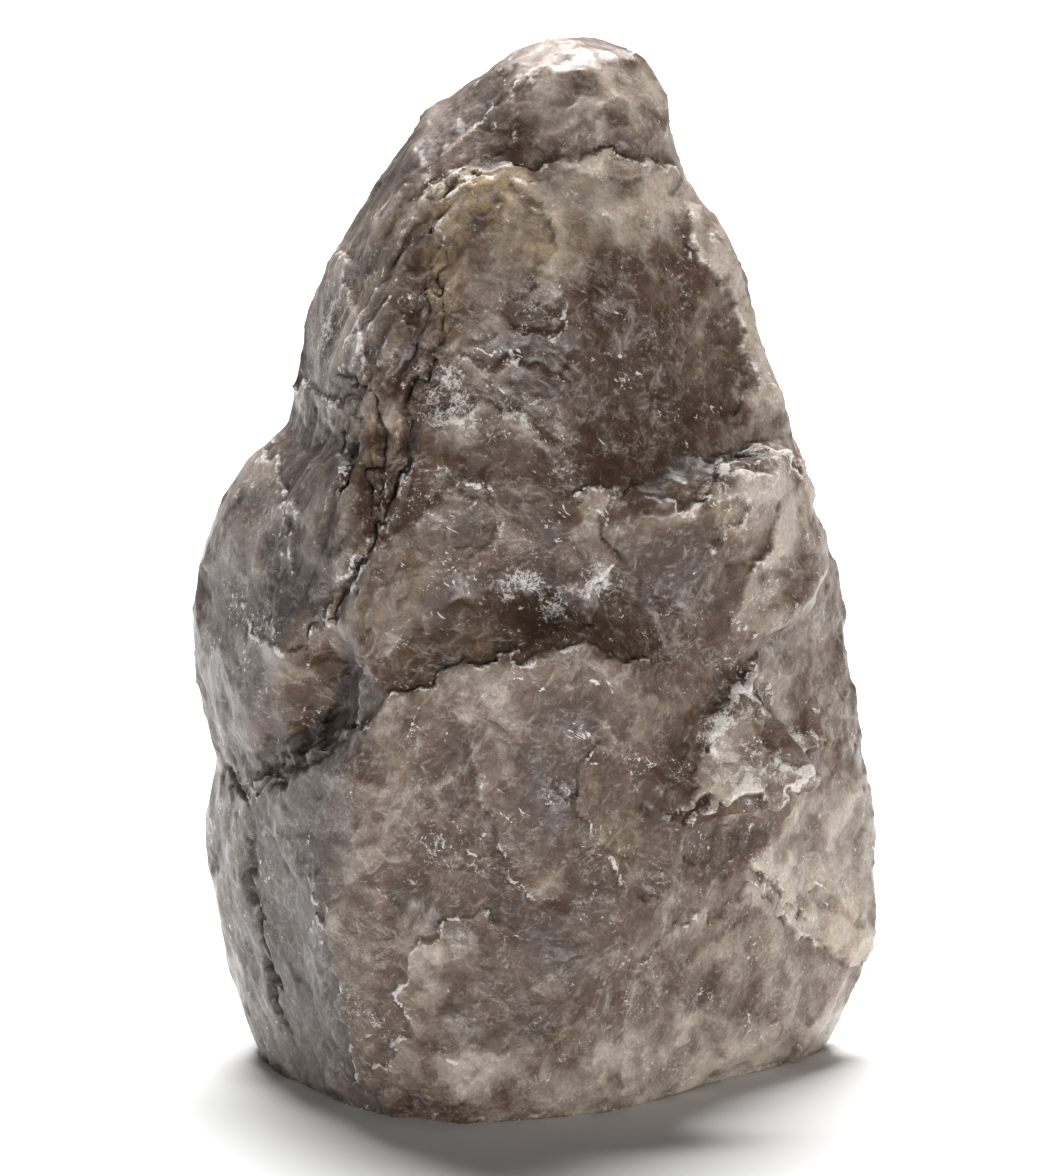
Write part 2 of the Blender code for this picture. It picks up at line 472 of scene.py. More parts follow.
LEDGES = (
    # arched edge of the plate on the lower front
    Ledge(
        ((-40, 98), (-34, 105), (-24, 109), (-15, 112), (-4, 114), (6, 118), (15, 116), (25, 110)),
        1.6, 11, 0.8, 0.3, 0.35,
    ),
    # scalloped lower left edges of the plate
    Ledge(((-3, 58), (-8, 64), (-9, 72), (-14, 78), (-13, 86), (-17, 93)), 1.3, 5, 0.8, 0.25, 0.25),
    Ledge(((20, 58), (13, 64), (12, 72), (8, 78), (9, 86), (14, 92)), 1.0, 5, 0.6, 0.25, 0.3),
    Ledge(((-26, 44), (-20, 52), (-12, 54), (-6, 48)), 0.9, 5, 0.9, 0.3, 0.15),
    # ledge under the dark window
    Ledge(
        ((12, 150), (20, 149), (29, 147), (39, 147), (46, 152), (58, 151), (66, 147)),
        1.4, 8, 0.9, 0.35, 0.3,
    ),
    Ledge(((40, 132), (44, 138), (50, 142), (48, 148), (40, 148)), 0.9, 5, 1.0, 0.3, 0.2),
    # right-hand rim of the dark window, above it
    Ledge(((52, 168), (48, 182), (44, 192), (38, 197), (36, 205)), 1.2, 6, 0.8, 0.3, 0.3),
    # ledge under the knob
    Ledge(((-23, 216), (-14, 220), (-4, 222), (8, 225), (20, 225), (32, 219)), 1.4, 7, 0.9, 0.3, 0.3),
    # overhanging lower edge of the flake
    Ledge(((66, 79), (55, 76), (43, 76), (33, 73)), 2.8, 8, 1.0, 0.15, 0.6),
    # left and right edges of the flake
    Ledge(((34, 74), (39, 84), (42, 93), (48, 103)), 1.4, 5, 1.0, 0.15, 0.3),
    Ledge(((49, 103), (52, 94), (53, 86), (65, 80)), 1.2, 5, 1.0, 0.12, 0.3),
    # rims of broken ground on the front
    Ledge(((-18, 181), (-9, 178), (-1, 181), (6, 174)), 0.9, 5, 1.0, 0.3, 0.25),
    Ledge(((-18, 167), (-12, 170), (-6, 169), (2, 164)), 0.6, 4, 1.0, 0.35, 0.2),
    Ledge(((-14, 136), (-10, 143), (-12, 152), (-20, 154)), 0.9, 8, 0.8, 0.35, 0.2),
    Ledge(((20, 150), (14, 143), (17, 134), (12, 126)), 1.0, 6, 0.6, 0.2, 0.3),
    Ledge(((46, 118), (48, 126), (54, 131), (56, 140)), 1.0, 6, 0.9, 0.35, 0.3),
    Ledge(((-2, 196), (3, 205), (1, 212), (-3, 216)), 0.7, 4, 0.5, 0.15, 0.3),
    Ledge(((-6, 190), (-2, 187), (4, 188), (6, 192)), 0.8, 4, 0.9, 0.4, 0.2),
    # edges round the low left face
    Ledge(((-42, 8), (-44, 20), (-45, 34), (-50, 50), (-60, 64), (-71, 74)), 1.1, 7, 0.7, 0.3, 0.2),
    Ledge(((-36, 14), (-30, 24), (-34, 34), (-28, 44)), 0.9, 6, 1.0, 0.3, 0.1),
    # edges on the left shoulder and bulge
    Ledge(((-58, 166), (-50, 167), (-42, 168), (-38, 174)), 1.0, 6, 0.8, 0.35, 0.35),
    Ledge(((-70, 152), (-62, 150), (-56, 142), (-58, 132)), 1.0, 6, 0.8, 0.35, 0.3),
    Ledge(((-66, 112), (-58, 110), (-54, 116), (-48, 122)), 1.0, 6, 0.9, 0.35, 0.3),
    Ledge(((-52, 205), (-46, 196), (-40, 188), (-40, 176)), 0.9, 7, 0.6, 0.3, 0.3),
    # low right
    Ledge(((24, 36), (31, 44), (41, 45), (48, 52)), 0.8, 5, 0.6, 0.2, 0.15),
    Ledge(((76, 22), (64, 34), (57, 46), (50, 56)), 0.8, 12, 0.7, 0.35, 0.2),
    Ledge(((-22, 222), (-14, 231), (-7, 238), (-4, 232), (-8, 226)), 0.9, 5, 0.8, 0.3, 0.2),
    Ledge(((44, 58), (49, 61), (50, 66), (45, 67)), 0.5, 3, 0.5, 0.3, 0.1),
)

CRACKS = (
    # the long crack beside the upright ridge, down into the valley
    Crack(
        (
            (-23, 211), (-22, 194), (-28, 168), (-31, 159), (-37, 143), (-41, 135), (-47, 121), (-54, 117),
            (-55, 108),
        ),
        1.1, 2.4,
    ),
    # between the low left face and the sliver beyond it
    Crack(((-70, 72), (-68, 50), (-63, 31), (-56, 12)), 0.9, 1.8),
    # foot of the valley
    Crack(((-73, 70), (-58, 83), (-39, 101)), 1.4, 1.6),
    # fine cracks at the lower right
    Crack(((50, 56), (56, 47), (64, 35), (75, 23)), 0.5, 0.9),
    Crack(((56, 47), (62, 43), (70, 44)), 0.4, 0.6),
    # pits among the flutes
    Crack(((-46, 176), (-39, 174), (-35, 165), (-38, 154), (-36, 148)), 1.2, 2.4),
    Crack(((-42, 166), (-43, 157), (-46, 148)), 0.9, 1.8),
    Crack(((-24, 205), (-27, 192), (-31, 180)), 0.8, 1.4),
)

SCARS = (
    Scar((28, 168), (16, 19), 2.6, -10),
    Scar((32, 131), (13, 9), 2.2, 10),
    Scar((-4, 131), (19, 9), 1.8, 5),
    Scar((47, 62), (14, 8), 2.6, 15),
    Scar((-58, 127), (6, 11), 3.0, -20),
    Scar((-48, 101), (13, 8), 2.2, 38),
    Scar((-6, 178), (12, 8), 1.4, -20),
    Scar((-46, 190), (9, 16), 1.5, -20),
    Scar((70, 42), (11, 16), 1.5, 10),
    Scar((-24, 82), (13, 10), 1.6, 30),
    Scar((26, 74), (9, 8), 1.6, 0),
    Scar((12, 209), (20, 10), 1.2, 8),
    Scar((18, 238), (11, 7), 1.2, -20),
    Scar((-60, 50), (14, 26), 1.6, -12),
)

# The wedge that stands off the right of the front.
FLAKE = Zone(Tint.FROST, (48, 87), (17, 20), 0.9, -25)
# Where the smoke is thick or thin.
SMOKE_PATCHES = (
    ((28, 166), (19, 21), 0.95, -10),
    ((26, 195), (15, 12), 0.45),
    ((32, 131), (13, 10), 0.75, 10),
    ((50, 108), (11, 12), 0.45),
    ((30, 122), (15, 22), 0.38, -12),
    ((30, 60), (14, 14), 0.22),
    ((45, 63), (15, 8), 0.75, 15),
    ((0, 180), (16, 10), 0.45, -20),
    ((-2, 150), (20, 26), 0.52),
    ((-12, 126), (20, 9), 0.35, 5),
    ((-48, 100), (15, 10), 0.55, 38),
    ((-60, 46), (12, 28), 1.05, -12),
    ((-58, 127), (6, 11), 0.90, -20),
    ((60, 82), (10, 18), 0.25),
    ((2, 76), (11, 14), 0.30),
    ((10, 210), (19, 13), -0.64, 8),
    ((12, 238), (22, 13), -0.92),
    ((74, 42), (8, 18), -0.35, 8),
    ((20, 8), (60, 12), -0.95, -4),
    ((50, 42), (22, 14), -0.15),
    ((-2, 84), (30, 26), 0.28),
    ((52, 82), (14, 6), -0.60, 5),
    ((60, 140), (12, 12), -0.12),
    ((-74, 40), (5, 34), -0.55),
    ((45, 202), (5, 14), -0.60, -14),
    ((57, 168), (6, 15), -0.60, -14),
    ((-52, 186), (12, 20), -0.58, -20),
    ((-66, 135), (12, 22), -0.35, -10),
    ((-69, 111), (6, 7), -0.45, 20),
    ((-67, 148), (6, 8), -0.40, -20),
    ((48, 88), (10, 14), -0.45, -25),
)
# Where the ground is frosted.
FROST_PATCHES = (
    ((47, 90), (10, 14), 1.3, -25),
    ((52, 82), (13, 5), 1.2, 5),
    ((52, 147), (14, 7), 1.0, 10),
    ((52, 122), (9, 9), 0.8),
    ((-6, 192), (8, 6), 0.9),
    ((-18, 174), (10, 11), 0.7),
    ((-66, 114), (9, 8), 1.0),
    ((-66, 140), (11, 14), 0.7),
    ((-38, 20), (10, 18), 0.65),
    ((40, 197), (7, 9), 0.5),
    ((-16, 219), (10, 5), 0.6, 15),
    ((-20, 60), (14, 16), 0.4),
    ((20, 20), (44, 16), 0.55),
    ((22, 190), (20, 14), 0.4),
    ((-50, 184), (12, 20), 0.9, -20),
    ((-4, 132), (24, 12), 0.5),
    ((-13, 171), (17, 7), 1.0, -8),
    ((6, 128), (20, 5), 0.9, 4),
    ((0, 152), (20, 16), 0.4),
    ((-38, 140), (6, 14), 0.6, -20),
    ((4, 66), (10, 12), 0.5),
)
# Where iron has stained it.
STAIN_PATCHES = (
    ((-12, 217), (14, 6), 1.0, 20),
    ((-21, 198), (5, 18), 0.8, 0),
    ((-38, 168), (7, 13), 0.25, 0),
    ((16, 68), (8, 8), 0.35, 0),
    ((-30, 125), (8, 18), 0.25, 0),
    ((10, 212), (20, 11), 0.35, 8),
)
ZONES = tuple(
    Zone(tint, *patch)
    for tint, patches in (
        (Tint.SMOKE, SMOKE_PATCHES), (Tint.FROST, FROST_PATCHES), (Tint.STAIN, STAIN_PATCHES),
    )
    for patch in patches
)


# ---------------------------------------------------------------- the stone

@dataclass(frozen=True)
class Scatter:
    """Scars struck at random: how many, least and most of radius and depth in millimetres, and their lean."""

    count: int
    radius: tuple[float, float]
    depth: tuple[float, float]
    lean: float


@dataclass(frozen=True)
class Plates:
    """One size of fracture plate: lengths in metres, and how it is held flat and shaded.

    The slope and the step are how far its face tilts and stands off, and the wander how far its rims swing.
    Hold is the share of the way to its own flat plane, and flat the furthest it may move, against its size.
    """

    size: float
    slope: float
    step: float
    wander: float
    shade: float
    hold: float
    flat: float


# Nearest the floor, points that face down this much lie on the flat foot and stay there.
FOOT_HEIGHT = 2.0 * MM
FOOT_FACING = 0.6
# How much less the flake is flattened than the ground round it.
FLAKE_KEPT = 0.85
# Frosted rims of the plates: their width, the size of the patches they lie in, and their strength.
PLATE_RIM = 1.1 * MM
RIM_PATCH = 16 * MM
RIM_FROST = 0.5
# What a plate's level counts for in its shade, against its slope.
LEVEL_SHADE = 0.8
# How broken edges of ledges and cracks swing, and the chips they are broken into: size and reach.
EDGE_SWING = (14 * MM, 1.6 * MM)
EDGE_CHIPS = ((7.5 * MM, 1.9 * MM), (3.2 * MM, 0.8 * MM))
# Half the width of a ledge's frosted lip, and how far below it the painted shadow reaches.
LIP_WIDTH = 1.0 * MM
PAINTED_SHADE_REACH = 4 * MM
# The course of the fluted band, the way its flutes run, and how deep they are.
FLUTE_PATH = ((-20, 212), (-26, 180), (-34, 150), (-46, 122))
FLUTE_RUN = (0.32, 0.0, 0.95)
FLUTE_STRETCH = 0.84
FLUTE_DEPTH = 0.75 * MM
FLUTE_SHADE = 0.35
# Size of the finest grit.
GRIT = 2.4 * MM
# Smoke in the stone on the whole, how strongly patches change it, and how strongly plates, flutes and the
# painted shadow below ledges change it.
BASE_SMOKE = 0.70
PATCH_SMOKE = 0.5
CLOUD_AND_SHADE_SMOKE = 0.85
# The furthest that the stone's thickness is felt for, and the thickness at which its light has mostly gone.
THICKEST = 60 * MM
LIGHT_REACH = 11 * MM
LARGE_SCARS = Scatter(60, (9, 20), (0.6, 1.9), 0.16)
MIDDLE_SCARS = Scatter(180, (5, 11), (0.25, 0.8), 0.2)
SMALL_SCARS = Scatter(500, (1.8, 5.0), (0.12, 0.4), 0.3)
PLATES = (
    Plates(22 * MM, 0.5 * MM, 0.3 * MM, 3.0 * MM, 0.26, 0.45, 0.06),
    Plates(11 * MM, 0.5 * MM, 0.4 * MM, 1.4 * MM, 0.28, 0.90, 0.12),
    Plates(5.0 * MM, 0.25 * MM, 0.15 * MM, 0.6 * MM, 0.16, 0.80, 0.12),
)


@dataclass
class QuartzStone:
    """The broken stone: mesh sizes in metres, and the seed of every random draw."""

    coarse_voxel: float = 1.3 * MM
    fine_voxel: float = 0.75 * MM
    quick_voxel: float = 1.1 * MM
    border: float = 0.55 * MM
    swell: float = 0.8 * MM
    even_rounds: int = 4
    crease: float = math.radians(38)
    seed: int = 11
    surface: Surface = field(init=False)
    plan: FrontPlan = field(init=False)
    noise: Noise = field(init=False)
    draw: np.random.Generator = field(init=False)
    frost: np.ndarray = field(init=False)
    # Cloudy tone of the plates and flutes, with the painted shadow below ledges added in.
    cloud_and_shade: np.ndarray = field(init=False)

    def build(self) -> bpy.types.Object:
        """Makes the stone's mesh and stores what its material reads.

        Returns:
            the finished object.
        """
        self.plan = FrontPlan(*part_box(CAD_NODE))
        self.noise = Noise(self.seed)
        self.draw = np.random.default_rng(self.seed)
        self.surface = Surface(self.copy_of_solid())
        self.rough_out()
        self.surface.remesh(self.fine_voxel)
        self.frost = np.zeros(len(self.surface.points))
        self.cloud_and_shade = np.zeros(len(self.surface.points))
        self.split_plates()
        self.raise_ledges()
        self.open_cracks()
        self.flute()
        self.surface.write()
        self.strike_random(SMALL_SCARS)
        self.crush_skin()
        self.store_tints()
        self.surface.obj.data.set_sharp_from_angle(angle=self.crease)
        return self.surface.obj

    def copy_of_solid(self) -> bpy.types.Object:
        """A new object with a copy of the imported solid's mesh.

        Returns:
            the object.
        """
        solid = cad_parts[CAD_NODE]
        obj = bpy.data.objects.new("quartz_stone", solid.data.copy())
        bpy.context.scene.collection.objects.link(obj)
        return obj

    def rough_out(self) -> None:
        """Evens the mesh, swells it by what the scars will take away, and strikes the larger scars."""
        surface = self.surface
        surface.remesh(self.coarse_voxel)
        surface.points = surface.averaged(surface.points, self.even_rounds)
        surface.points += surface.normals * self.swell
        surface.write()
        for scar in SCARS:
            self.strike_named(scar)
        surface.write()
        self.strike_random(LARGE_SCARS)
        self.strike_random(MIDDLE_SCARS)

    def foot_share(self) -> np.ndarray:
        """How far each point is free of the flat foot: 0 on it, 1 above it.

        Returns:
            one share for each point.
        """
        down = -self.surface.normals[:, 2]
        on_foot = (self.surface.points[:, 2] < FOOT_HEIGHT) & (down > FOOT_FACING)
        return np.where(on_foot, 0.0, 1.0)

    def split_plates(self) -> None:
        """Breaks the surface into flat plates that meet at crisp edges, from large to small."""
        surface = self.surface
        for plates in PLATES:
            moved = self.noise.wander(surface.points, plates.size * 0.6, plates.wander)
            cells = self.noise.cells(moved, plates.size, self.border)
            shift = self.towards_planes(cells, plates.flat * plates.size)
            on_flake = self.zone_share(FLAKE, self.surface.points[:, [0, 2]])
            shift *= (plates.hold * (1 - FLAKE_KEPT * on_flake))[:, None]
            height = plates.slope * cells.slope + plates.step * cells.level
            shift += surface.normals * height[:, None]
            surface.points += shift * self.foot_share()[:, None]
            surface.write()
            self.cloud_and_shade -= plates.shade * (cells.slope + LEVEL_SHADE * cells.level)
            rim = np.exp(-((cells.gap / PLATE_RIM) ** 2)) * eased(cells.level, 0.0, 0.3)
            patches = eased(self.noise.smooth(surface.points, RIM_PATCH), 0.0, 0.6)
            self.frost = np.maximum(self.frost, RIM_FROST * rim * patches)

    def towards_planes(self, cells: Cells, most: float) -> np.ndarray:
        """The way from each point to the mean plane of the cell it lies in.

        Args:
            cells: the cells.
            most: the furthest that a point may move, in metres.

        Returns:
            one shift for each point, in metres.
        """
        surface = self.surface
        owners, index = np.unique(cells.owner, return_inverse=True)
        count = np.bincount(index)
        rows = [surface.points[:, i] for i in range(3)] + [surface.normals[:, i] for i in range(3)]
        means = np.stack([np.bincount(index, row) / count for row in rows], axis=1)
        middles = means[:, :3]
        faces = means[:, 3:] / np.linalg.norm(means[:, 3:], axis=1, keepdims=True)
        beside = np.searchsorted(owners, cells.owner_second).clip(0, len(owners) - 1)
        beside = np.where(owners[beside] == cells.owner_second, beside, index)
        shift = np.zeros((len(index), 3))
        for cell, share in ((index, 1 - cells.share), (beside, cells.share)):
            away = np.einsum("ij,ij->i", middles[cell] - surface.points, faces[cell])
            shift += (share * np.clip(away, -most, most))[:, None] * faces[cell]
        return shift

    def front_place(self, place: tuple[float, float]) -> tuple[np.ndarray, np.ndarray]:
        """Where a place on the front lies on the surface, and the normal there.

        Args:
            place: (x, z) in design millimetres.

        Returns:
            the point and the normal.
        """
        x, z = self.plan.point(place)
        flat = self.surface.points[:, [0, 2]]
        near = np.linalg.norm(flat - (x, z), axis=1) < 3 * MM
        index = np.flatnonzero(near & (self.surface.normals[:, 1] < 0))
        found = index[np.argmin(self.surface.points[index, 1])]
        return self.surface.points[found], self.surface.normals[index].mean(axis=0)

    def strike_named(self, scar: Scar) -> None:
        """Strikes one of the named scars.

        Args:
            scar: the scar.
        """
        centre, normal = self.front_place(scar.centre)
        radii = np.array(scar.radii) * MM
        near = np.flatnonzero(np.linalg.norm(self.surface.points - centre, axis=1) < radii.max() * 1.2)
        self.strike(near, centre, normal, radii, scar.depth * MM, math.radians(scar.turn))

    def strike_random(self, scatter: Scatter) -> None:
        """Strikes scars all over the stone.

        Args:
            scatter: how many, how large and how deep.
        """
        surface, draw = self.surface, self.draw
        tree = surface.tree()
        for place in draw.integers(0, len(surface.points), scatter.count):
            size = draw.random() ** 2
            radius = MM * (scatter.radius[0] + (scatter.radius[1] - scatter.radius[0]) * size)
            depth = MM * (scatter.depth[0] + (scatter.depth[1] - scatter.depth[0]) * size)
            depth *= draw.uniform(0.5, 1.0)
            normal = surface.normals[place] + scatter.lean * draw.normal(size=3)
            radii = np.array([radius, radius * draw.uniform(0.45, 1.0)])
            centre = surface.points[place].copy()
            near = np.array([found[1] for found in tree.find_range(centre, radius * 1.4)])
            self.strike(near, centre, normal, radii, depth, draw.uniform(0, math.tau))
        surface.write()

    def strike(
        self,
        near: np.ndarray,
        centre: np.ndarray,
        normal: np.ndarray,
        radii: np.ndarray,
        depth: float,
        turn: float,
    ) -> None:
        """Cuts one bowl-shaped scar: what stands above the bowl is brought down to it.

        Args:
            near: the points that the scar may reach.
            centre: the scar's middle on the surface.
            normal: the way out of the stone there.
            radii: the scar's two half widths in metres.
            depth: depth of the bowl in metres.
            turn: turn of the first half width round the normal, in radians.
        """
        surface = self.surface
        out = normal / np.linalg.norm(normal)
        side = np.cross(out, (0.0, 0.0, 1.0) if abs(out[2]) < 0.9 else (1.0, 0.0, 0.0))
        side /= np.linalg.norm(side)
        other = np.cross(out, side)
        across = math.cos(turn) * side + math.sin(turn) * other
        along = np.cross(out, across)
        apart = surface.points[near] - centre
        spread = np.hypot(apart @ across / radii[0], apart @ along / radii[1])
        bowl = depth * (spread**2 - 1)
        above = apart @ out - bowl
        facing = surface.normals[near] @ out > 0.35
        most = depth * (1.5 - spread)
        cut = np.where((spread < 1) & facing, np.clip(above, 0, most), 0.0)
        surface.points[near] -= out * cut[:, None]

    def front_share(self) -> np.ndarray:
        """How far each point faces the front: 1 where it does, 0 where it faces away.

        Returns:
            one share for each point.
        """
        return eased(-self.surface.normals[:, 1], -0.15, 0.25)

    def ragged_front(self) -> np.ndarray:
        """(x, z) of each point, moved about so that what is laid out on it gets a broken edge.

        Returns:
            (x, z) of each moved point, in metres.
        """
        places = self.noise.wander(self.surface.points, *EDGE_SWING)
        moved = places.copy()
        for size, reach in EDGE_CHIPS:
            moved += reach * self.noise.cells(places, size, self.border).lean
        return moved[:, [0, 2]]

    def raise_ledges(self) -> None:
        """Raises the ground beside each ledge, and frosts its lip."""
        surface = self.surface
        flat = self.ragged_front()
        front = self.front_share()
        broken = eased(self.noise.layered(surface.points, 8 * MM, 3, 0.7), -0.35, 0.55)
        for ledge in LEDGES:
            beside, past, _ = along_path(flat, self.plan.path(ledge.path))
            ends = 1 - eased(past, 0.0, 5 * MM)
            rise = eased(beside, -0.5 * MM, 0.7 * MM) * np.exp(-np.maximum(beside, 0) / (ledge.reach * MM))
            surface.points += surface.normals * (ledge.lift * MM * rise * ends * front)[:, None]
            held = ends * front
            lip = np.exp(-((beside - 0.6 * MM) / LIP_WIDTH) ** 2) * broken
            self.frost = np.maximum(self.frost, ledge.frost * lip * held)
            # painted shadow: the ground below each ledge is darkened, as if shaded by the step
            below = np.exp(np.minimum(beside, 0) / PAINTED_SHADE_REACH) * (1 - eased(beside, -0.6 * MM, 0.3 * MM))
            self.cloud_and_shade += held * (ledge.shade * below - ledge.pale * rise)

    def open_cracks(self) -> None:
        """Cuts each crack as a groove with a ragged course."""
        surface = self.surface
        flat = self.ragged_front()
        front = eased(-surface.normals[:, 1], -0.45, 0.0)
        vary = 1 + 0.5 * self.noise.smooth(surface.points, 9 * MM)
        for crack in CRACKS:
            beside, past, along = along_path(flat, self.plan.path(crack.path))
            taper = np.sqrt(np.clip(4 * along * (1 - along), 0.1, 1))
            width = crack.width * MM * vary * taper
            groove = np.exp(-((beside / width) ** 2)) * (1 - eased(past, 0.0, 2 * MM)) * taper
            surface.points -= surface.normals * (crack.depth * MM * groove * front)[:, None]

    def flute(self) -> None:
        """Works the fine upright flutes into the band beside the ridge."""
        surface = self.surface
        points = surface.points
        run = np.array(FLUTE_RUN)
        stretched = points - FLUTE_STRETCH * (points @ run)[:, None] * run
        flat = points[:, [0, 2]]
        beside, past, _ = along_path(flat, self.plan.path(FLUTE_PATH))
        band = eased(beside, -7 * MM, -1 * MM) * (1 - eased(beside, 14 * MM, 26 * MM))
        band *= self.front_share() * (1 - eased(past, 0.0, 12 * MM))
        coarse = self.noise.cells(stretched, 4.6 * MM, 0.5 * MM)
        fine = self.noise.cells(stretched + 0.1, 2.4 * MM, 0.4 * MM)
        height = 1.5 * coarse.slope + 1.1 * coarse.level + 0.6 * fine.slope + 0.4 * fine.level
        surface.points += surface.normals * (FLUTE_DEPTH * band * height)[:, None]
        self.cloud_and_shade -= FLUTE_SHADE * band * height

    def crush_skin(self) -> None:
        """Gives the stone its finest grit, stronger where the ground is crushed."""
        surface = self.surface
        crushed = eased(self.noise.layered(surface.points, 24 * MM, 2), -0.1, 0.5)
        grit = self.noise.layered(surface.points, GRIT, 2, 0.6) * (0.03 + 0.12 * crushed) * MM
        surface.points += surface.normals * (grit * self.foot_share())[:, None]
        surface.write()

    # ------------------------------------------------------------ what the material reads

    def store_tints(self) -> None:
        """Stores, for each point, how proud and hollow it is, its smoke with painted shadow and light mixed
        in, how frosted, stained and thin it is, and how far it faces left, for a painted cooler shade.
        """
        surface = self.surface
        step = np.median(np.linalg.norm(np.diff(surface.points[surface.edges], axis=1), axis=2))
        narrow = surface.relief(6) / step
        wide = surface.relief(60) / step
        surface.store("crest", np.clip(narrow * 2.4, 0, 1))
        # hollow feeds the painted shade laid into hollows, creases and cracks
        surface.store("hollow", np.clip(-narrow * 1.2 - wide * 0.45, 0, 1))
        flat = self.noise.wander(surface.points, 14 * MM, 4 * MM)
        flat = self.noise.wander(flat, 4 * MM, 1.2 * MM)[:, [0, 2]]
        front = self.front_share()
        tints = {tint: np.zeros(len(surface.points)) for tint in Tint}
        for zone in ZONES:
            tints[zone.tint] += self.zone_share(zone, flat) * zone.amount * front
        away = 1 - front
        broad = self.noise.layered(surface.points, 42 * MM, 3, 0.55)
        # Faces turned away from the front are made smokier and more mottled.
        tints[Tint.SMOKE] += (0.20 + 0.15 * away) * broad + 0.12 * away
        # painted light: faces turned to the right are made paler, as the lit side
        tints[Tint.SMOKE] -= 0.55 * eased(surface.averaged(surface.normals, 12)[:, 0], 0.35, 0.90)
        tints[Tint.FROST] += eased(self.noise.layered(surface.points + 0.3, 20 * MM, 3), 0.35, 0.9) * 0.6
        tints[Tint.STAIN] += eased(self.noise.layered(surface.points - 0.2, 30 * MM, 3), 0.5, 1.0) * 0.5
        # The smoke also carries the painted shadow below ledges and the painted light on faces turned right.
        smoke = BASE_SMOKE + PATCH_SMOKE * tints[Tint.SMOKE] + CLOUD_AND_SHADE_SMOKE * self.cloud_and_shade
        surface.store("smoke", np.clip(smoke, 0, 1))
        surface.store("frost", np.clip(0.8 * tints[Tint.FROST], 0, 1))
        surface.store("rim", np.clip(self.frost, 0, 1))
        surface.store("stain", np.clip(tints[Tint.STAIN], 0, 1))
        # painted shade: faces turned to the left get a cooler, greyer colour
        surface.store("left_shade", eased(-surface.averaged(surface.normals, 12)[:, 0], 0.15, 0.75))
        # for a painted glow: thin parts are later made paler, standing in for light shining through them
        surface.store("thin", self.thinness())

    def zone_share(self, zone: Zone, flat: np.ndarray) -> np.ndarray:
        """How strongly a zone covers each point, from 0 to 1.

        Args:
            zone: the zone.
            flat: (x, z) of each point in metres.

        Returns:
            one share for each point.
        """
        turn = math.radians(zone.turn)
        apart = flat - self.plan.point(zone.centre)
        across = apart @ (math.cos(turn), math.sin(turn)) / (zone.radii[0] * MM)
        upward = apart @ (-math.sin(turn), math.cos(turn)) / (zone.radii[1] * MM)
        return 1 - eased(np.hypot(across, upward), 0.55, 1.25)

    def thinness(self) -> np.ndarray:
        """How thin the stone is behind each point: near 1 where light comes through, 0 where it is thick.

        Returns:
            one share for each point.
        """
        surface = self.surface
        mesh = surface.obj.data
        mesh.calc_loop_triangles()
        tree = BVHTree.FromObject(surface.obj, bpy.context.evaluated_depsgraph_get())
        thick = np.full(len(surface.points), THICKEST)
        inward = -surface.averaged(surface.normals, 3)
        starts = surface.points + inward * 1.5 * MM
        for i, (start, way) in enumerate(zip(starts.tolist(), inward.tolist())):
            distance = tree.ray_cast(start, way, THICKEST)[3]
            if distance is not None:
                thick[i] = distance
        return surface.averaged(np.exp(-thick / LIGHT_REACH), 12)


# ---------------------------------------------------------------- materials

def from_screen(red: int, green: int, blue: int) -> tuple[float, float, float, float]:
    """A colour given as on a screen, from 0 to 255, in the renderer's linear values.

    Args:
        red: red, from 0 to 255.
        green: green, from 0 to 255.
        blue: blue, from 0 to 255.

    Returns:
        the linear colour with an alpha of 1.
    """
    linear = [((c / 255 + 0.055) / 1.055) ** 2.4 for c in (red, green, blue)]
    return (*linear, 1.0)


Socket = bpy.types.NodeSocket
Number = float | Socket


